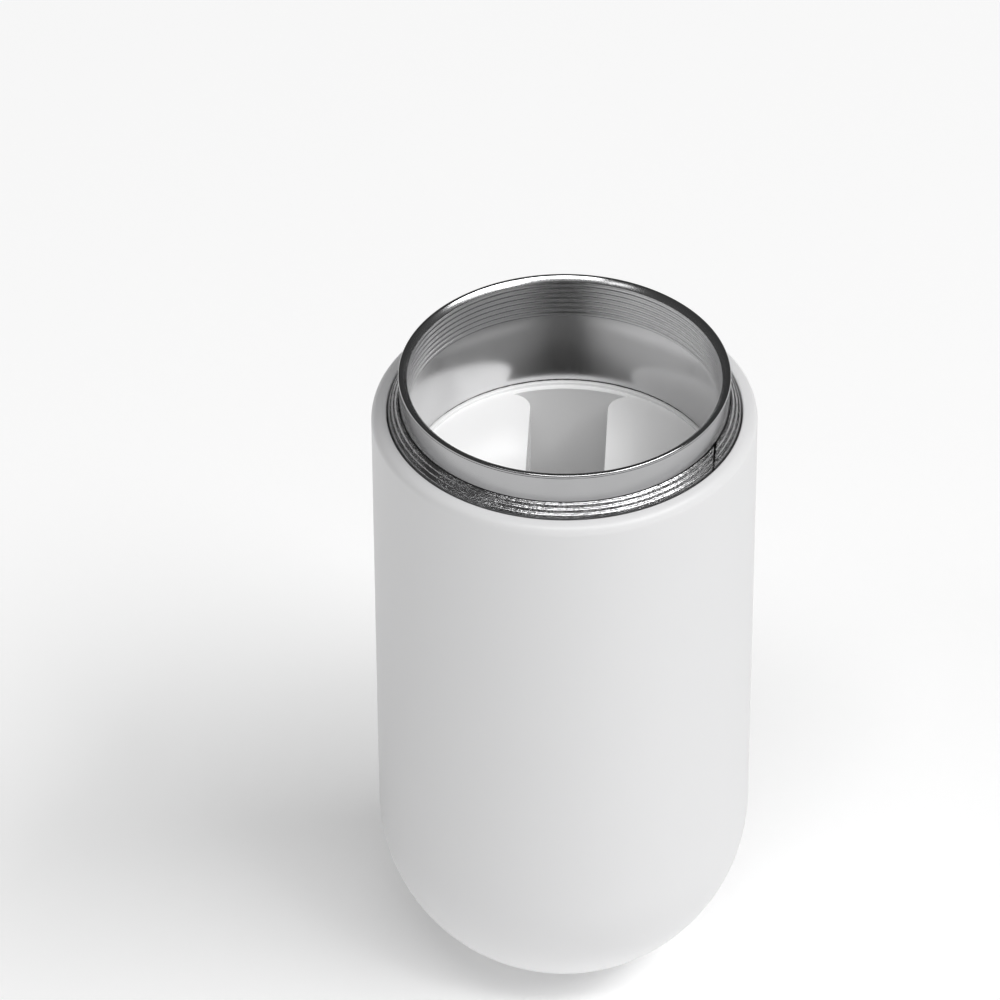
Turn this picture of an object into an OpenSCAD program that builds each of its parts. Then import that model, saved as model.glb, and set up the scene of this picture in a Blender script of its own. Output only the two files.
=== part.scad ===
// Magnetic cap of a stylus, standing on its domed end with its mouth up.
// The origin is the centre of the shell's flat rim, where the cap meets the barrel,
// and +Z points out of the mouth. Lengths are in millimetres, angles in degrees.

/* [Shell] */
// Outside diameter of the shell, the same as the barrel that it closes
shell_d = 8.9; // [8:0.1:12]
// Length of the shell from its rim to the tip of its domed end
shell_len = 16.1; // [12:0.1:24]
// Thickness of the shell's wall round the well, below the metal rings
body_wall = 0.89; // [0.75:0.01:1.3]
// Thickness of the shell's wall round the metal rings
mouth_wall = 0.35; // [0.3:0.01:0.5]
// Radius of the rounding on the rim's outer edge
rim_round = 0.25; // [0.05:0.01:0.27]
// Lead-in chamfer on the rim's inner edge
rim_chamfer = 0.03; // [0.01:0.005:0.04]

/* [Plug slot] */
// Depth of the shallow well from the shelf under the rings down to the white floor
well_depth = 0.08; // [0.04:0.01:0.4]
// Width of the slot in the floor, which takes the connector's flat plug
slot_w = 1.82; // [1.7:0.02:2.6]
// Length of the slot across the cap
slot_len = 6.88; // [6.8:0.02:7.1]
// Depth of the slot below the floor
slot_depth = 9.5; // [8:0.1:10]
// Radius that rounds the floor's corners at the ends of the slot
corner_r = 0.5; // [0.3:0.05:0.7]
// How far the rounding starts before the slot's end wall, as a share of its radius
corner_reach_share = 0.92; // [0.7:0.02:0.96]

/* [Collar] */
// Height of the lip's crest above the shell's rim
collar_proud = 1.02; // [0.7:0.01:1.8]
// Thickness of the collar's wall above its flange
collar_wall = 0.19; // [0.14:0.01:0.28]
// Thickness of the sleeve that carries the bore on down through the magnet
sleeve_wall = 0.15; // [0.1:0.01:0.2]
// Width and height of the bevel inside the lip, as a share of the wall's thickness
lip_bevel_share = 0.58; // [0.3:0.02:0.6]
// Radius of the rounding on the lip's outer edge, as a share of the wall's thickness
lip_round_share = 0.28; // [0.16:0.02:0.28]
// How far the lip's rounding swells out of the wall
lip_swell = 0.015; // [0.005:0.005:0.03]
// Thickness of the flange, which the seat ring holds down
flange_t = 0.23; // [0.12:0.01:0.4]
// How far the wall widens from the seat ring's top down to the flange, on the radius
foot_taper = 0.01; // [0.005:0.001:0.012]
// Number of shallow turning grooves inside the top of the collar
groove_count = 7; // [1:1:8]
// Distance from one turning groove to the next
groove_pitch = 0.14; // [0.12:0.005:0.16]
// Distance from the lip's bevel down to the middle of the first groove
groove_start = 0.08; // [0.07:0.01:0.2]
// Radius of the tool tip that leaves each groove
groove_tip = 0.15; // [0.1:0.01:0.2]
// Depth of each turning groove
groove_depth = 0.01; // [0.005:0.001:0.012]

/* [Seat ring] */
// Width of the seat ring, from its bore to its outside
seat_w = 0.24; // [0.18:0.01:0.4]
// Height of the seat ring's inner edge above the shell's rim
seat_proud = 0.26; // [0.16:0.01:0.4]
// Height of the whole seat ring
seat_h = 0.38; // [0.3:0.01:0.6]
// Number of low rounded ridges that step down the ring's sloping face
ridge_count = 3; // [1:1:4]
// Radius of each ridge's rounded top
ridge_r = 0.1; // [0.06:0.01:0.12]
// How far each ridge stands out of the sloping face
ridge_proud = 0.012; // [0.006:0.001:0.014]
// Width of the slit that lets the ring spring into place
slit_w = 0.05; // [0.02:0.01:0.12]
// Direction of the slit round the cap
slit_at = -28; // [-180:1:180]
// How far the slit leans from a straight radial cut
slit_lean = -65; // [-70:5:70]

/* [Magnet] */
// Height of the ring magnet
magnet_h = 1.6; // [1:0.02:3]
// Chamfer on the edges of the magnet
magnet_chamfer = 0.05; // [0.02:0.01:0.06]

/* [Fits] */
// Thickness of the glue under the sleeve and the magnet, on the shell's shelf
glue_t = 0.06; // [0.03:0.01:0.12]
// How far the glue stops short of the collar's bore
glue_inset = 0.04; // [0.01:0.01:0.1]
// Gap between the metal rings and the shell's mouth
ring_gap = 0.03; // [0.02:0.005:0.06]
// Gap between the collar's sleeve and the magnet
sleeve_gap = 0.02; // [0.01:0.005:0.03]
// Gap between the collar's wall and the seat ring
seat_gap = 0.02; // [0.015:0.005:0.04]

/* [Hidden] */
$fn = 96;

// Overrun of every cut past the face that it opens
overrun = 0.5;

// Radii, from the outside of the shell inwards
shell_r = shell_d / 2;
mouth_r = shell_r - mouth_wall;
ring_r = mouth_r - ring_gap;
seat_in_r = ring_r - seat_w;
collar_r = seat_in_r - seat_gap;
collar_in_r = collar_r - collar_wall;
sleeve_r = collar_in_r + sleeve_wall;
magnet_in_r = sleeve_r + sleeve_gap;
hollow_r = shell_r - body_wall;

// Bevel and rounding of the collar's lip
lip_bevel = collar_wall * lip_bevel_share;
lip_r = collar_wall * lip_round_share;

// Heights, from the top of the stack of rings down to the tip of the dome
lip_z = collar_proud - lip_r;
bevel_z = collar_proud - lip_bevel;
seat_base_z = seat_proud - seat_h;
collar_base_z = seat_base_z - flange_t;
magnet_base_z = collar_base_z - magnet_h;
shelf_z = magnet_base_z - glue_t;
floor_z = shelf_z - well_depth;
dome_z = shell_r - shell_len;

// A ring's rectangular section, between two radii and two heights
module section(r_in, r_out, z_low, z_high) {
    translate([r_in, z_low])
        square([r_out - r_in, z_high - z_low]);
}

// The lower quarter of a disc on the axis, which turns into half a ball
module dome_section(r, z) {
    intersection() {
        translate([0, z])
            circle(r);
        section(0, r, z - r, z);
    }
}

// The shell's outside: domed end, straight side and rounded rim
module shell_outline() {
    dome_section(shell_r, dome_z);
    section(0, shell_r, dome_z, -rim_round);
    section(0, shell_r - rim_round, -rim_round, 0);
    translate([shell_r - rim_round, -rim_round])
        circle(rim_round);
}

// The shell's inside: a shallow well, and above it the wider seat for the metal rings
module hollow_outline() {
    section(0, hollow_r, floor_z, overrun);
    section(0, mouth_r, shelf_z, overrun);
    polygon([
        [mouth_r - rim_chamfer, -2 * rim_chamfer],
        [mouth_r, -rim_chamfer],
        [mouth_r + rim_chamfer, 0],
        [mouth_r + rim_chamfer, overrun],
        [mouth_r - rim_chamfer, overrun]
    ]);
}

// The plug slot seen from above. It runs along Y with round ends, and widens at both
// ends, where the floor's corners are rounded.
module slot_outline() {
    end_r = slot_len / 2;
    corner_x = slot_w / 2 + corner_r;
    corner_y = sqrt(pow(end_r, 2) - pow(corner_x, 2)) - corner_r * corner_reach_share;
    intersection() {
        circle(end_r);
        union() {
            square([slot_w, slot_len], center = true);
            for (side = [-1, 1], end = [-1, 1])
                difference() {
                    translate([side * corner_x / 2, end * (corner_y + end_r) / 2])
                        square([corner_x, end_r - corner_y], center = true);
                    translate([side * corner_x, end * corner_y])
                        circle(corner_r);
                }
        }
    }
}

// White moulding with a hemispherical end, a stepped mouth, and a slot in its floor
module outer_shell() {
    color("white")
        difference() {
            rotate_extrude()
                difference() {
                    shell_outline();
                    hollow_outline();
                }
            translate([0, 0, floor_z - slot_depth])
                linear_extrude(slot_depth + overrun)
                    slot_outline();
        }
}

// Thin ring of glue on the shell's shelf, under the sleeve and the magnet
module glue_ring() {
    color("gray")
        rotate_extrude()
            section(collar_in_r + glue_inset, ring_r, shelf_z, magnet_base_z);
}

// Plated ring magnet round the collar's sleeve, with all four edges chamfered
module ring_magnet() {
    color("silver")
        rotate_extrude()
            polygon([
                [magnet_in_r + magnet_chamfer, magnet_base_z],
                [ring_r - magnet_chamfer, magnet_base_z],
                [ring_r, magnet_base_z + magnet_chamfer],
                [ring_r, collar_base_z - magnet_chamfer],
                [ring_r - magnet_chamfer, collar_base_z],
                [magnet_in_r + magnet_chamfer, collar_base_z],
                [magnet_in_r, collar_base_z - magnet_chamfer],
                [magnet_in_r, magnet_base_z + magnet_chamfer]
            ]);
}

// The collar's section before it is grooved: the wall above the flange, the flange,
// and the thinner sleeve below it. The wall is straight above the seat ring, and
// tapers inside it to centre it.
module collar_outline() {
    lip_x = collar_r + lip_swell - lip_r;
    polygon([
        [collar_in_r, magnet_base_z],
        [sleeve_r, magnet_base_z],
        [sleeve_r, collar_base_z],
        [ring_r, collar_base_z],
        [ring_r, seat_base_z],
        [collar_r + foot_taper, seat_base_z],
        [collar_r, seat_proud],
        [collar_r, lip_z],
        [lip_x, lip_z],
        [lip_x, collar_proud],
        [collar_in_r + lip_bevel, collar_proud],
        [collar_in_r, bevel_z]
    ]);
    translate([lip_x, lip_z])
        circle(lip_r);
}

// Shallow round-bottomed turning grooves, one under the other, in the collar's bore
module turning_grooves() {
    for (i = [0 : groove_count - 1])
        translate([
            collar_in_r + groove_depth - groove_tip,
            bevel_z - groove_start - i * groove_pitch
        ])
            circle(groove_tip);
}

// Turned steel collar: a lip that is bevelled inside and rounded outside, a grooved
// bore, a flange that the seat ring holds down, and a sleeve through the magnet
module collar() {
    color("silver")
        rotate_extrude()
            difference() {
                collar_outline();
                turning_grooves();
            }
}

// The seat ring's section: a foot under a sloping face with low rounded ridges
module ridged_section() {
    high = [seat_in_r, seat_proud];
    low = [ring_r, 0];
    slope_len = norm(low - high);
    intersection() {
        section(seat_in_r, ring_r, seat_base_z, seat_proud);
        union() {
            polygon([[seat_in_r, seat_base_z], [ring_r, seat_base_z], low, high]);
            translate(high)
                rotate(-atan2(seat_proud, seat_w))
                    for (i = [0 : ridge_count - 1])
                        translate([
                            slope_len * (2 * i + 1) / (2 * ridge_count),
                            ridge_proud - ridge_r
                        ])
                            circle(ridge_r);
        }
    }
}

// Split ring with low ridges, which locks the collar into the shell's mouth
module seat_ring() {
    slit_len = 2 * seat_w / cos(slit_lean);
    color("silver")
        difference() {
            rotate_extrude()
                ridged_section();
            rotate([0, 0, slit_at])
                translate([(seat_in_r + ring_r) / 2, 0, seat_base_z])
                    rotate([0, 0, slit_lean])
                        translate([-slit_len / 2, -slit_w / 2, -overrun])
                            cube([slit_len, slit_w, seat_h + 2 * overrun]);
        }
}

outer_shell();
glue_ring();
ring_magnet();
collar();
seat_ring();
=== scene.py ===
# %% [markdown]
# # A stylus cap, dressed for the studio
# The cap is a white moulded cup with a domed end. In its mouth sit a ring magnet, a turned
# steel collar with a rounded lip, and a split ring that locks the collar in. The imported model
# gives every piece's place and size. This notebook turns each of them again with a finer
# section, gives it its finish, and sets up the light and the camera of the photograph.

# %% Load the frame
import math

import bpy
from mathutils import Matrix, Vector


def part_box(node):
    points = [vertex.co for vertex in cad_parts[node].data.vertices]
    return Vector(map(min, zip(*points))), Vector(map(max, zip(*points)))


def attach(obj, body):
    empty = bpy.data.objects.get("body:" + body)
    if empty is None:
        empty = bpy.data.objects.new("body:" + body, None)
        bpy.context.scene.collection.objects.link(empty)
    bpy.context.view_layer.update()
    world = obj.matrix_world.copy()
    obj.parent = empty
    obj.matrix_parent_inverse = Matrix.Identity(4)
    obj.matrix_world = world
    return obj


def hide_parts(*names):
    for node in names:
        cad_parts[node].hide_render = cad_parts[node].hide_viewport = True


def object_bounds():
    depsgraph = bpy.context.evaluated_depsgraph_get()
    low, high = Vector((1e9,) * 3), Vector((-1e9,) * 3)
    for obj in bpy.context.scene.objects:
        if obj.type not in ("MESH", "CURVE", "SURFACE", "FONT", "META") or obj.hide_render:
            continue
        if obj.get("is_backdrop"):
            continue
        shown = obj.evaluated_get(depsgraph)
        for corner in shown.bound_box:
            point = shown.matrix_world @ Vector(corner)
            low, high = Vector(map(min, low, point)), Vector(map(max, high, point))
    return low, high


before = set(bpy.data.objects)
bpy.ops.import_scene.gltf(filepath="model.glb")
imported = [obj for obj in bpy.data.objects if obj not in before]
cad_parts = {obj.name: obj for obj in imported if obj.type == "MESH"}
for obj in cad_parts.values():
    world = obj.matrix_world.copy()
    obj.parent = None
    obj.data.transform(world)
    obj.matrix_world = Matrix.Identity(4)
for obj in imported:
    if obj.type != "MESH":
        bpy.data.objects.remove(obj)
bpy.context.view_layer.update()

mm = 0.001
print("CAD nodes:", ", ".join(sorted(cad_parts)))

# %% [markdown]
# ## Sizes
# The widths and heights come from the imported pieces. Only what their boxes can't tell, such
# as a wall's thickness or a groove's depth, is named, here or with its own piece.

# %% Take the sizes from the frame
shell_low, shell_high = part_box("outer_shell")
glue_low, glue_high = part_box("glue_ring")
magnet_low, magnet_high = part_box("ring_magnet")
collar_low, collar_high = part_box("collar")
seat_low, seat_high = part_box("seat_ring")

shell_r = shell_high.x
ring_r = seat_high.x

body_wall = 0.89 * mm
mouth_wall = 0.35 * mm
seat_w = 0.24 * mm
seat_gap = 0.02 * mm
collar_wall = 0.19 * mm
sleeve_wall = 0.15 * mm
sleeve_gap = 0.02 * mm

mouth_r = shell_r - mouth_wall
hollow_r = shell_r - body_wall
seat_in_r = ring_r - seat_w
collar_r = seat_in_r - seat_gap
collar_in_r = collar_r - collar_wall
sleeve_r = collar_in_r + sleeve_wall
magnet_in_r = sleeve_r + sleeve_gap

radii = {"shell": shell_r, "rings": ring_r, "collar": collar_r, "bore": collar_in_r}
for name, value in radii.items():
    print(f"radius of the {name}: {value / mm:.2f} mm")

# %% [markdown]
# ## The camera
# The photograph looks down into the mouth at about 38 degrees. One perspective camera was
# fitted to the edges of the rings and of the shell: it stands on the -Y side, and looks a
# little left of the cap and below its rim.

# %% Stand the camera where the photographer stood
picture_px = 1000
rim_centre_px = (564.3, 407.6)
focal_px = 6441
sensor_w = 36
camera_height = math.radians(37.85)
camera_away = 148.2 * mm
camera_turn = math.radians(2.2)
camera_roll = math.radians(-0.12)

right = Vector((math.cos(camera_turn), math.sin(camera_turn), 0))
ahead = Vector((-math.sin(camera_turn), math.cos(camera_turn), 0))
up = ahead * math.sin(camera_height) + Vector((0, 0, math.cos(camera_height)))
towards = right.cross(up)
aside_px = rim_centre_px[0] - picture_px / 2
above_px = picture_px / 2 - rim_centre_px[1]

bpy.ops.object.camera_add(location=towards * camera_away)
camera = bpy.context.object
camera.name = "photo_camera"
look = -focal_px * towards - aside_px * right - above_px * up
turn = look.to_track_quat("-Z", "Y").to_matrix()
level = turn.inverted() @ up
lean = math.atan2(level.x, level.y)
camera.rotation_euler = (turn @ Matrix.Rotation(-lean - camera_roll, 3, "Z")).to_euler()
camera.data.sensor_width = sensor_w
camera.data.lens = focal_px * sensor_w / picture_px
camera.data.clip_start = camera_away / 100
bpy.context.scene.camera = camera
print(f"camera {camera_away / mm:.0f} mm away, lens {camera.data.lens:.0f} mm")

# %% [markdown]
# ## Drawing a section and turning it
# Every piece of the cap is round, and the real ones are moulded or turned, so each is made
# as on a lathe: its section is drawn on one side of the axis, and spun once round. A cylinder
# could be cut and scaled into the same shape, but a section shows each step, chamfer and
# rounding at a glance. The line grows from one vertex, which is what is left of a small plane
# whose corners are merged, and each extrusion adds the next point.

# %% Helpers for round pieces
turn_steps = 256
merge_reach = 0.001 * mm


def select_nothing():
    if bpy.context.object and bpy.context.object.mode != "OBJECT":
        bpy.ops.object.mode_set(mode="OBJECT")
    bpy.ops.object.select_all(action="DESELECT")


def arc(centre, radius, start, end, steps):
    """Points on an arc of a section, from one angle to another in degrees."""
    points = []
    for i in range(steps + 1):
        angle = math.radians(start + (end - start) * i / steps)
        across = centre[0] + radius * math.cos(angle)
        along = centre[1] + radius * math.sin(angle)
        points.append((across, along))
    return points


def draw_line(name, points):
    """Draws a line through points, starting from one vertex, and stays in edit mode."""
    select_nothing()
    bpy.ops.mesh.primitive_plane_add(size=merge_reach, location=points[0])
    piece = bpy.context.object
    piece.name = name
    bpy.ops.object.transform_apply(location=True)
    bpy.ops.object.mode_set(mode="EDIT")
    bpy.ops.mesh.select_all(action="SELECT")
    bpy.ops.mesh.merge(type="CENTER")
    for start, end in zip(points, points[1:]):
        step = {"value": Vector(end) - Vector(start)}
        bpy.ops.mesh.extrude_vertices_move(TRANSFORM_OT_translate=step)
    bpy.ops.mesh.select_all(action="SELECT")
    return piece


def turned(name, section):
    """Spins a section, given as distances from the axis and heights, into a solid."""
    piece = draw_line(name, [(r, 0, z) for r, z in section])
    bpy.ops.mesh.spin(steps=turn_steps, angle=math.tau, center=(0, 0, 0), axis=(0, 0, 1))
    bpy.ops.mesh.select_all(action="SELECT")
    bpy.ops.mesh.remove_doubles(threshold=merge_reach)
    bpy.ops.mesh.normals_make_consistent(inside=False)
    bpy.ops.object.mode_set(mode="OBJECT")
    return piece


def raised(name, outline, low, high):
    """Fills an outline seen from above and raises it into a block."""
    piece = draw_line(name, [(x, y, low) for x, y in outline + outline[:1]])
    bpy.ops.mesh.remove_doubles(threshold=merge_reach)
    bpy.ops.mesh.edge_face_add()
    bpy.ops.mesh.extrude_region_move(TRANSFORM_OT_translate={"value": (0, 0, high - low)})
    bpy.ops.mesh.select_all(action="SELECT")
    bpy.ops.mesh.normals_make_consistent(inside=False)
    bpy.ops.object.mode_set(mode="OBJECT")
    return piece


print(f"one turn is {turn_steps} steps")

# %% [markdown]
# ## Cutting and finishing a piece
# A mill or a saw cuts a slot by taking a block out of the turned piece, and a Boolean does the
# same. The slot could also be drawn into the mesh face by face, but then every neighbour would
# have to be drawn again. A flat face that the cut will cross is first joined into one, so that
# the Bevel modifier finds long clean edges. At the end each normal is weighted by the size of
# its faces, which keeps flat faces flat right up to their rounded edges.

# %% Helpers for cutting and finishing
smooth_below = math.radians(35)
face_weight = 100


def make_active(piece):
    select_nothing()
    piece.select_set(True)
    bpy.context.view_layer.objects.active = piece


def join_flat(piece, height):
    """Joins the faces that lie at one height into a single face, so that a cut stays clean."""
    make_active(piece)
    bpy.ops.object.mode_set(mode="EDIT")
    bpy.ops.mesh.select_mode(type="FACE")
    bpy.ops.mesh.select_all(action="DESELECT")
    bpy.ops.object.mode_set(mode="OBJECT")
    for face in piece.data.polygons:
        face.select = abs(face.center.z - height) < merge_reach
    bpy.ops.object.mode_set(mode="EDIT")
    bpy.ops.mesh.dissolve_faces()
    bpy.ops.mesh.select_mode(type="VERT")
    bpy.ops.object.mode_set(mode="OBJECT")


def cut_away(piece, tool):
    """Cuts a tool's shape out of a piece, and throws the tool away."""
    cut = piece.modifiers.new("cut", "BOOLEAN")
    cut.operation = "DIFFERENCE"
    cut.solver = "EXACT"
    cut.object = tool
    make_active(piece)
    bpy.ops.object.modifier_apply(modifier=cut.name)
    bpy.data.objects.remove(tool)


def soften(piece, width, segments):
    """Rounds the sharp edges of a piece, as every real edge is."""
    bevel = piece.modifiers.new("edges", "BEVEL")
    bevel.width = width
    bevel.segments = segments
    bevel.limit_method = "ANGLE"
    bevel.angle_limit = smooth_below
    make_active(piece)
    bpy.ops.object.modifier_apply(modifier=bevel.name)


def finish_piece(piece, node):
    """Shades a piece, hands it to the frame and prints what it is."""
    make_active(piece)
    bpy.ops.object.shade_smooth_by_angle(angle=smooth_below)
    flatness = piece.modifiers.new("flatness", "WEIGHTED_NORMAL")
    flatness.weight = face_weight
    flatness.keep_sharp = True
    bpy.ops.object.modifier_apply(modifier=flatness.name)
    piece.data.name = piece.name
    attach(piece, "root")
    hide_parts(node)
    size = piece.dimensions / mm
    print(f"{piece.name}: {len(piece.data.polygons)} faces")
    print(f"  {size.x:.2f} x {size.y:.2f} x {size.z:.2f} mm")


# %% [markdown]
# ## The shell
# One moulding of white plastic: a straight side with a round end, rounded off at the rim, and
# a wide mouth for the metal rings. Below their shelf lies a white floor. The section is drawn
# from the middle of the floor outwards, over the rim and down to the tip, so it starts and
# ends on the axis and the spin closes it.

# %% Turn the shell
rim_round = 0.25 * mm
rim_chamfer = 0.03 * mm
well_depth = 0.08 * mm
floor_z = glue_low.z - well_depth
dome_z = shell_low.z + shell_r

shell_section = (
    [(0, floor_z), (hollow_r, floor_z), (hollow_r, glue_low.z), (mouth_r, glue_low.z)]
    + [(mouth_r, -rim_chamfer), (mouth_r + rim_chamfer, 0)]
    + arc((shell_r - rim_round, -rim_round), rim_round, 90, 0, steps=12)
    + arc((0, dome_z), shell_r, 0, -90, steps=48)
)
shell = turned("shell_moulded", shell_section)
print(f"{shell.name}: a section of {len(shell_section)} points")

# %% [markdown]
# ## The slot in its floor
# A deep narrow slot runs across the floor, and at both its ends the floor's corners are
# rounded. A slot is not round, so it can't be spun. Its outline is drawn from above, raised
# into a block and cut away. One quarter of the outline is worked out, and the other three are
# its mirror images.

# %% Cut the slot
slot_w = 1.82 * mm
slot_end_r = 6.88 * mm / 2
slot_depth = 9.5 * mm
corner_r = 0.5 * mm
corner_reach_share = 0.92
corner_reach = corner_reach_share * corner_r
shell_edge = 0.02 * mm

corner_x = slot_w / 2 + corner_r
corner_y = math.sqrt(slot_end_r ** 2 - corner_x ** 2) - corner_reach
corner = Vector((corner_x, corner_y))
# The corner's arc runs on until it meets the arc of the slot's end
spare = slot_end_r ** 2 - corner.length_squared - corner_r ** 2
past_corner = math.acos(spare / (2 * corner.length * corner_r))
meeting = math.degrees(math.atan2(corner_y, corner_x) + past_corner)
corner_arc = arc(corner, corner_r, 180, meeting, steps=10)
meet_x, meet_y = corner_arc[-1]
end_start = math.degrees(math.atan2(meet_y, meet_x))
quarter = corner_arc + arc((0, 0), slot_end_r, end_start, 90, steps=12)[1:]
half = quarter + [(-x, y) for x, y in reversed(quarter[:-1])]
slot_outline = half + [(-x, -y) for x, y in half]

slot_tool = raised("slot_tool", slot_outline, floor_z - slot_depth, shell_high.z)
join_flat(shell, floor_z)
cut_away(shell, slot_tool)
soften(shell, shell_edge, segments=3)
finish_piece(shell, "outer_shell")
print(f"slot {slot_w / mm:.2f} mm wide in a floor at {floor_z / mm:.2f} mm")

# %% [markdown]
# ## The magnet and its glue
# The magnet is pressed powder, ground flat and plated, and its edges are chamfered all round.
# It sits behind the collar's sleeve. A rectangle is spun, and a Bevel modifier of one segment
# cuts the chamfers. The glue under it was squeezed out, so its inner edge is not quite round.

# %% Turn the magnet and the glue
magnet_chamfer = 0.05 * mm
glue_inset = 0.04 * mm
glue_unevenness = 0.012 * mm


def ring_section(inner, outer, low, high):
    return [(inner, low), (outer, low), (outer, high), (inner, high), (inner, low)]


magnet_section = ring_section(magnet_in_r, ring_r, magnet_low.z, magnet_high.z)
magnet = turned("magnet_plated", magnet_section)
soften(magnet, magnet_chamfer, segments=1)
finish_piece(magnet, "ring_magnet")

glue_in_r = collar_in_r + glue_inset
glue_section = ring_section(glue_in_r, ring_r, glue_low.z, glue_high.z)
glue = turned("glue_line", glue_section)
bpy.ops.object.mode_set(mode="EDIT")
bpy.ops.mesh.select_all(action="DESELECT")
bpy.ops.object.mode_set(mode="OBJECT")
for vertex in glue.data.vertices:
    vertex.select = vertex.co.xy.length < glue_in_r + glue_inset
bpy.ops.object.mode_set(mode="EDIT")
bpy.ops.transform.vertex_random(offset=glue_unevenness, uniform=0, normal=1, seed=7)
bpy.ops.object.mode_set(mode="OBJECT")
finish_piece(glue, "glue_ring")

# %% [markdown]
# ## The collar
# One turned steel tube. Its lip is rounded outside and bevelled inside, and below the bevel
# the tool left seven shallow grooves in the bore. A flange is held down by the seat ring, and
# below it a thinner sleeve carries the bore on through the magnet. The grooves and the lip's
# rounding are arcs in the section, and a Bevel modifier then eases every sharp edge.

# %% Turn the collar
lip_bevel_share = 0.58
lip_round_share = 0.28
lip_bevel = lip_bevel_share * collar_wall
lip_r = lip_round_share * collar_wall
lip_swell = 0.015 * mm
foot_taper = 0.01 * mm
groove_count = 7
groove_pitch = 0.14 * mm
groove_start = 0.08 * mm
groove_tip = 0.15 * mm
groove_depth = 0.01 * mm
collar_edge = 0.012 * mm

lip_centre = (collar_r + lip_swell - lip_r, collar_high.z - lip_r)
lip_dip = math.degrees(math.acos(1 - lip_swell / lip_r))
bevel_z = collar_high.z - lip_bevel
groove_spread = math.degrees(math.acos(1 - groove_depth / groove_tip))

collar_section = (
    [(collar_in_r, collar_low.z), (sleeve_r, collar_low.z), (sleeve_r, magnet_high.z)]
    + [(ring_r, magnet_high.z), (ring_r, seat_low.z)]
    + [(collar_r + foot_taper, seat_low.z), (collar_r, seat_high.z)]
    + arc(lip_centre, lip_r, -lip_dip, 90, steps=12)
    + [(collar_in_r + lip_bevel, collar_high.z), (collar_in_r, bevel_z)]
)
for i in range(groove_count):
    groove_z = bevel_z - groove_start - i * groove_pitch
    groove_centre = (collar_in_r + groove_depth - groove_tip, groove_z)
    collar_section += arc(groove_centre, groove_tip, groove_spread, -groove_spread, steps=8)
collar_section.append(collar_section[0])

collar = turned("collar_turned", collar_section)
soften(collar, collar_edge, segments=2)
finish_piece(collar, "collar")

# %% [markdown]
# ## The seat ring
# A split spring ring, whose face slopes from the collar down to the rim and carries three low
# rounded ridges. It is spun whole, and then a thin leaning block cuts its slit.

# %% Turn the seat ring and slit it
ridge_count = 3
ridge_r = 0.1 * mm
ridge_proud = 0.012 * mm
seat_edge = 0.01 * mm
slit_w = 0.05 * mm
slit_at = math.radians(-28)
slit_lean = math.radians(-65)

slope_top = Vector((seat_in_r, seat_high.z))
slope = Vector((ring_r, 0)) - slope_top
facing = math.degrees(math.atan2(slope.x, -slope.y))
outwards = Vector((-slope.y, slope.x)).normalized()
ridge_spread = math.degrees(math.acos(1 - ridge_proud / ridge_r))

seat_section = [(seat_in_r, seat_low.z), tuple(slope_top)]
for i in range(ridge_count):
    middle = slope_top + slope * (2 * i + 1) / (2 * ridge_count)
    ridge_centre = middle - outwards * (ridge_r - ridge_proud)
    ridge_from = facing + ridge_spread
    ridge_to = facing - ridge_spread
    seat_section += arc(ridge_centre, ridge_r, ridge_from, ridge_to, steps=8)
seat_section += [(ring_r, 0), (ring_r, seat_low.z), (seat_in_r, seat_low.z)]
seat_ring = turned("seat_ring_ridged", seat_section)

slit_middle = Vector((math.cos(slit_at), math.sin(slit_at))) * (seat_in_r + ring_r) / 2
select_nothing()
bpy.ops.mesh.primitive_cube_add(
    size=1,
    location=(slit_middle.x, slit_middle.y, (seat_low.z + seat_high.z) / 2),
    rotation=(0, 0, slit_at + slit_lean),
    scale=(2 * seat_w / math.cos(slit_lean), slit_w, 2 * (seat_high.z - seat_low.z)),
)
cut_away(seat_ring, bpy.context.object)
soften(seat_ring, seat_edge, segments=2)
finish_piece(seat_ring, "seat_ring")

# %% [markdown]
# ## Shader maths in plain Python
# A finish is a small web of nodes. Wired one by one, its sums are hard to read, so a Shade
# wraps one socket and lets Python's own signs add the Math nodes. A Finish holds a material,
# and its add() makes any other node. A Mix node has sockets for numbers, vectors and colours
# under the same names, so its colours are picked by number.

# %% A finish and its shades
mix_mask_in = 0
mix_low_in = 6
mix_high_in = 7
mix_colour_out = 2
outward_pace = 0.7


class Shade:
    """A number that changes over a surface, which + - * and ** work on."""

    def __init__(self, finish, socket):
        self.finish = finish
        self.socket = socket

    def maths(self, operation, *values):
        return self.finish.add("ShaderNodeMath", {"operation": operation}, dict(enumerate(values)))

    def __add__(self, other):
        return self.maths("ADD", self, other)

    def __sub__(self, other):
        return self.maths("SUBTRACT", self, other)

    def __rsub__(self, other):
        return self.maths("SUBTRACT", other, self)

    def __mul__(self, other):
        return self.maths("MULTIPLY", self, other)

    def __pow__(self, other):
        return self.maths("POWER", self, other)

    __radd__ = __add__
    __rmul__ = __mul__

    def ramp(self, low, high):
        """0 below one value, 1 above the other, and smooth between them."""
        settings = {"interpolation_type": "SMOOTHSTEP"}
        inputs = {"Value": self, "From Min": low, "From Max": high}
        return self.finish.add("ShaderNodeMapRange", settings, inputs)


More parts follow.
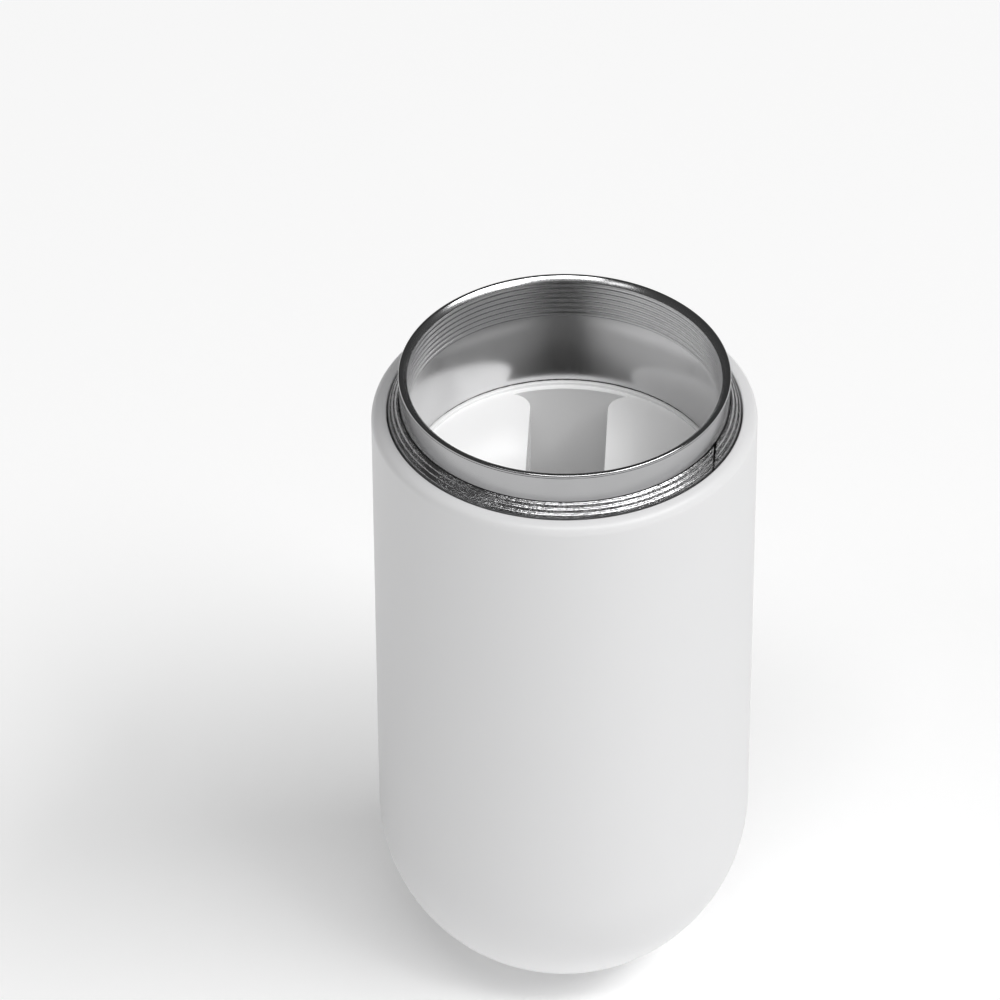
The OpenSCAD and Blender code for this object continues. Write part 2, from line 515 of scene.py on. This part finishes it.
class Finish:
    """A material, its shader and the nodes that feed it."""

    def __init__(self, name, **constants):
        self.material = bpy.data.materials.new(name)
        self.material.use_nodes = True
        self.tree = self.material.node_tree
        self.shader = self.tree.nodes["Principled BSDF"]
        for socket, value in constants.items():
            self.shader.inputs[socket.replace("_", " ")].default_value = value
        self.place = self.add("ShaderNodeTexCoord", {}, {}, "Object")
        x = self.add("ShaderNodeSeparateXYZ", {}, {"Vector": self.place}, "X")
        y = self.add("ShaderNodeSeparateXYZ", {}, {"Vector": self.place}, "Y")
        self.z = self.add("ShaderNodeSeparateXYZ", {}, {"Vector": self.place}, "Z")
        self.radius = (x * x + y * y) ** 0.5

    def add(self, kind, settings, inputs, output=0):
        """Makes a node: its settings first, then the values or links of its sockets."""
        node = self.tree.nodes.new(kind)
        for setting, value in settings.items():
            setattr(node, setting, value)
        for socket, value in inputs.items():
            self.feed(node.inputs[socket], value)
        return Shade(self, node.outputs[output])

    def feed(self, socket, value):
        if isinstance(value, Shade):
            self.tree.links.new(value.socket, socket)
        else:
            socket.default_value = value

    def shading(self, **inputs):
        """Feeds what varies over the surface to the shader."""
        for socket, value in inputs.items():
            self.feed(self.shader.inputs[socket.replace("_", " ")], value)

    def clouds(self, size, detail):
        """Soft noise, from 0 to 1, whose patches are about as wide as size."""
        inputs = {"Vector": self.place, "Scale": 1 / size, "Detail": detail}
        return self.add("ShaderNodeTexNoise", {}, inputs)

    def rings(self, size, detail):
        """Noise that changes only along the axis and outwards, as a lathe tool leaves it."""
        along = self.z + outward_pace * self.radius
        inputs = {"W": along, "Scale": 1 / size, "Detail": detail}
        return self.add("ShaderNodeTexNoise", {"noise_dimensions": "1D"}, inputs)

    def bump(self, height, distance):
        """A fine relief whose deepest step is the distance."""
        inputs = {"Height": height, "Distance": distance, "Strength": 1}
        return self.add("ShaderNodeBump", {}, inputs, "Normal")

    def tint(self, mask, low, high):
        """Mixes two colours by a mask."""
        inputs = {mix_mask_in: mask, mix_low_in: (*low, 1), mix_high_in: (*high, 1)}
        return self.add("ShaderNodeMix", {"data_type": "RGBA"}, inputs, mix_colour_out)

    def put_on(self, piece):
        piece.data.materials.clear()
        piece.data.materials.append(self.material)
        print(f"{self.material.name}: {len(self.tree.nodes)} nodes")


# %% [markdown]
# ## White plastic
# The shell is a plain white moulding. Outside it has the soft gloss of a fine moulding
# texture. Inside, where the tool's core was polished, it is glossier. The inside is also
# painted a little whiter: this painted light stands in for the light that reaches down into
# the hollow and its slot. The mask between the two follows the distance from the axis, and
# fades out at the dome, whose outside comes close to the axis too.

# %% Finish the shell
outside_white = (0.845, 0.845, 0.85)
# The paler white is painted light: it brightens the inside of the hollow in place of light
painted_light_white = (0.935, 0.935, 0.935)
texture_w = 0.09 * mm
wave_w = 1.6 * mm
shell_relief = 0.0012 * mm
polish_spread = 0.1 * mm
polish_fade = 1 * mm
shell_roughness = 0.34

white = Finish("shell_white", IOR=1.46)
within = 1 - white.radius.ramp(hollow_r + polish_spread, mouth_r)
inside = within * white.z.ramp(dome_z - polish_fade, dome_z)
texture = white.clouds(texture_w, detail=3)
waviness = white.clouds(wave_w, detail=1)
# The inside mask paints the hollow whiter as painted light; the waviness adds a random tone
colour = white.tint(0.9 * inside + 0.1 * waviness, outside_white, painted_light_white)
roughness = shell_roughness + 0.05 * waviness - 0.2 * inside
relief = white.bump(texture * (1 - inside) + 0.3 * waviness, shell_relief)
white.shading(Base_Color=colour, Roughness=roughness, Normal=relief)
white.put_on(shell)

# %% [markdown]
# ## Turned steel
# The collar is bright, but it still shows the lathe: hair-fine rings that catch the light in
# streaks. The bore was left as turned, so it is paler and duller than the polished outside.
# Handling has left a few dull patches too, so the colour and the roughness wander a little.

# %% Finish the collar
polished_grey = (0.42, 0.42, 0.425)
turned_grey = (0.62, 0.62, 0.625)
lathe_line_w = 0.02 * mm
dull_patch_w = 0.7 * mm
lathe_relief = 0.0006 * mm
collar_roughness = 0.1

steel = Finish("collar_steel", Metallic=1)
lines = steel.rings(lathe_line_w, detail=3)
patches = steel.clouds(dull_patch_w, detail=2)
bore = 1 - steel.radius.ramp(collar_in_r, collar_r)
colour = steel.tint(0.8 * bore + 0.2 * patches, polished_grey, turned_grey)
roughness = collar_roughness + 0.08 * patches + 0.08 * bore
relief = steel.bump(lines, lathe_relief)
steel.shading(Base_Color=colour, Roughness=roughness, Normal=relief)
steel.put_on(collar)

# %% [markdown]
# ## Scuffed steel
# The seat ring was forced in with a tool, and its soft ridges are nicked and dented all the
# way round. That breaks its long highlights into sparks.

# %% Finish the seat ring
dent_grey = (0.36, 0.36, 0.365)
crest_grey = (0.52, 0.52, 0.525)
dent_w = 0.07 * mm
nick_w = 0.03 * mm
nicked_patch_w = 0.9 * mm
scuff_relief = 0.009 * mm
ring_roughness = 0.12

scuffed = Finish("ring_steel", Metallic=1)
dents = scuffed.clouds(dent_w, detail=3)
nicks = scuffed.clouds(nick_w, detail=2).ramp(low=0.52, high=0.62)
nicked = scuffed.clouds(nicked_patch_w, detail=2).ramp(low=0.35, high=0.6)
colour = scuffed.tint(dents, dent_grey, crest_grey)
roughness = ring_roughness + 0.16 * dents
relief = scuffed.bump(dents + 0.6 * nicks * nicked, scuff_relief)
scuffed.shading(Base_Color=colour, Roughness=roughness, Normal=relief)
scuffed.put_on(seat_ring)

# %% [markdown]
# ## Nickel and glue
# The magnet's plating is a little warmer and duller than the steel. The glue is dark and
# half matt, and lumpy where it was squeezed out.

# %% Finish the magnet
plating_dark = (0.42, 0.42, 0.42)
plating_pale = (0.48, 0.48, 0.475)
grain_w = 0.05 * mm
plating_relief = 0.001 * mm
plating_roughness = 0.16

nickel = Finish("magnet_nickel", Metallic=1)
grain = nickel.clouds(grain_w, detail=3)
colour = nickel.tint(grain, plating_dark, plating_pale)
roughness = plating_roughness + 0.1 * grain
relief = nickel.bump(grain, plating_relief)
nickel.shading(Base_Color=colour, Roughness=roughness, Normal=relief)
nickel.put_on(magnet)

# %% Finish the glue
resin_dark = (0.05, 0.05, 0.05)
resin_pale = (0.12, 0.12, 0.115)
lump_w = 0.12 * mm
lump_relief = 0.01 * mm
resin_roughness = 0.4

resin = Finish("glue_dark")
lumps = resin.clouds(lump_w, detail=3)
colour = resin.tint(lumps, resin_dark, resin_pale)
roughness = resin_roughness + 0.2 * lumps
relief = resin.bump(lumps, lump_relief)
resin.shading(Base_Color=colour, Roughness=roughness, Normal=relief)
resin.put_on(glue)

# %% [markdown]
# ## Floor, light and world
# The photograph is lit for a shop window. The floor is so pale that it vanishes, and it throws
# light up at the walls. A broad soft light at the front right lights half of the white floor
# inside and draws the long white bands on the rings. A higher one fills the front, a small one
# at the left adds a few sparks, and the room is dark, which gives the metal its dark lines.

# %% Lay the floor
floor_w = 6
floor_grey = (0.96, 0.96, 0.96, 1)
glow_colour = (1, 1, 1, 1)
floor_glow = 0.2
floor_roughness = 0.9

select_nothing()
bpy.ops.mesh.primitive_plane_add(size=floor_w, location=(0, 0, shell_low.z))
floor = bpy.context.object
floor.name = "studio_floor"
pale = Finish(
    "studio_floor",
    Base_Color=floor_grey,
    Roughness=floor_roughness,
    Specular_IOR_Level=0,
    Emission_Color=glow_colour,
    Emission_Strength=floor_glow,
)
pale.put_on(floor)
floor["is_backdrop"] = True

# %% Hang the soft lights
light_away = 1.2


def soft_light(name, azimuth, height, size, power):
    """A flat soft light that faces the cap. Angles are in degrees, its size in metres."""
    around = math.radians(azimuth)
    above = math.radians(height)
    level = Vector((math.cos(around), math.sin(around), 0))
    light_towards = level * math.cos(above) + Vector((0, 0, math.sin(above)))
    bpy.ops.object.light_add(type="AREA", location=light_towards * light_away)
    light = bpy.context.object
    light.name = name
    light.data.shape = "RECTANGLE"
    light.data.size, light.data.size_y = size
    light.data.energy = power
    light.rotation_euler = (-light_towards).to_track_quat("-Z", "Y").to_euler()
    print(f"{name}: {power} W, {size[0]} x {size[1]} m, {light_away} m away")


soft_light("broad_key", azimuth=-22, height=52, size=(0.85, 0.4), power=8.3)
soft_light("front_fill", azimuth=-85, height=65, size=(0.7, 0.3), power=4.8)
soft_light("left_spark", azimuth=-132, height=50, size=(0.3, 0.12), power=0.4)

# %% Darken the room
room_grey = (0.07, 0.07, 0.07, 1)

world = bpy.data.worlds.new("dark_room")
world.use_nodes = True
world.node_tree.nodes["Background"].inputs["Color"].default_value = room_grey
bpy.context.scene.world = world
bpy.context.scene.view_settings.view_transform = "Standard"
print(f"{world.name}: grey {room_grey[0]}")

# %% [markdown]
# ## The size of the finer pieces
# The finer pieces must stay inside the imported model's box. The corners of their box are
# printed.

# %% Print the box of the finer pieces
seen_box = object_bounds()
for corner in seen_box:
    print("corner of the finer pieces, mm:", [round(value / mm, 3) for value in corner])
